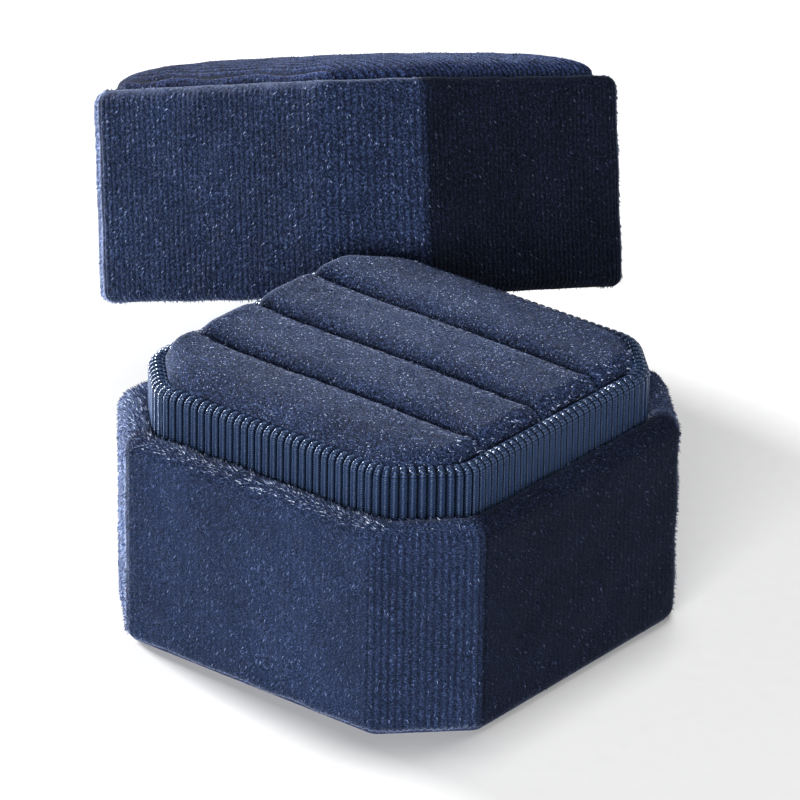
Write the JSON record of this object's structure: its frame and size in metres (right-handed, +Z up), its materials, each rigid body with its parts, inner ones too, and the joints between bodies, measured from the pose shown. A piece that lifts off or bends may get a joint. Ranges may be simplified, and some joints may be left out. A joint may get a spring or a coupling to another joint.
{
  "type": "ring box",
  "caption": "Eight-sided velvet ring box with a ribbed ribbon collar, a padded insert of slotted rolls, and a loose padded-top lid leaning on the back of the base",
  "frame": {"origin": "on the table, at the centre of the base's bottom face", "axes": "+Z up, +X along the insert's slots, -Y towards the base's front face; the lid leans behind the corner between -X and +Y"},
  "size_m": [0.0933, 0.0949, 0.0456],
  "materials": {
    "base_velvet": "navy corduroy velvet, fine vertical wales",
    "lid_velvet": "navy corduroy velvet, fine vertical wales",
    "dome_velvet": "navy corduroy velvet over a padded top",
    "insert_velvet": "navy velvet over padded rolls",
    "foot_velvet": "dark navy flat velvet under the base",
    "grosgrain_ribbon": "navy ribbed grosgrain ribbon, satin sheen",
    "lining": "dark navy short-pile velvet lining",
    "greyboard": "uncoated grey board",
    "foam": "pale soft polyurethane foam"
  },
  "bodies": {
    "base": {"base_foot_cover": "foot_velvet", "base_floor_board": "greyboard", "base_wall_board": "greyboard", "base_velvet": "base_velvet", "collar_board": "greyboard", "collar_ribbon": "grosgrain_ribbon", "insert_riser": "foam"},
    "insert": {"insert_card": "greyboard", "insert_foam_1": "foam", "insert_foam_2": "foam", "insert_foam_3": "foam", "insert_foam_4": "foam", "insert_velvet_1": "insert_velvet", "insert_velvet_2": "insert_velvet", "insert_velvet_3": "insert_velvet", "insert_velvet_4": "insert_velvet"},
    "lid": {"lid_wall_board": "greyboard", "lid_top_board": "greyboard", "lid_velvet": "lid_velvet", "lid_wall_lining": "lining", "lid_top_lining": "lining", "lid_dome_foam": "foam", "lid_dome_velvet": "dome_velvet"}
  },
  "joints": [
    {"name": "lid_lift", "type": "slide", "parent": "base", "child": "lid", "axis": [0, 0, 1], "range_m": [0, 0.04]},
    {"name": "insert_lift", "type": "slide", "parent": "base", "child": "insert", "axis": [0, 0, 1], "range_m": [0, 0.024]}
  ]
}
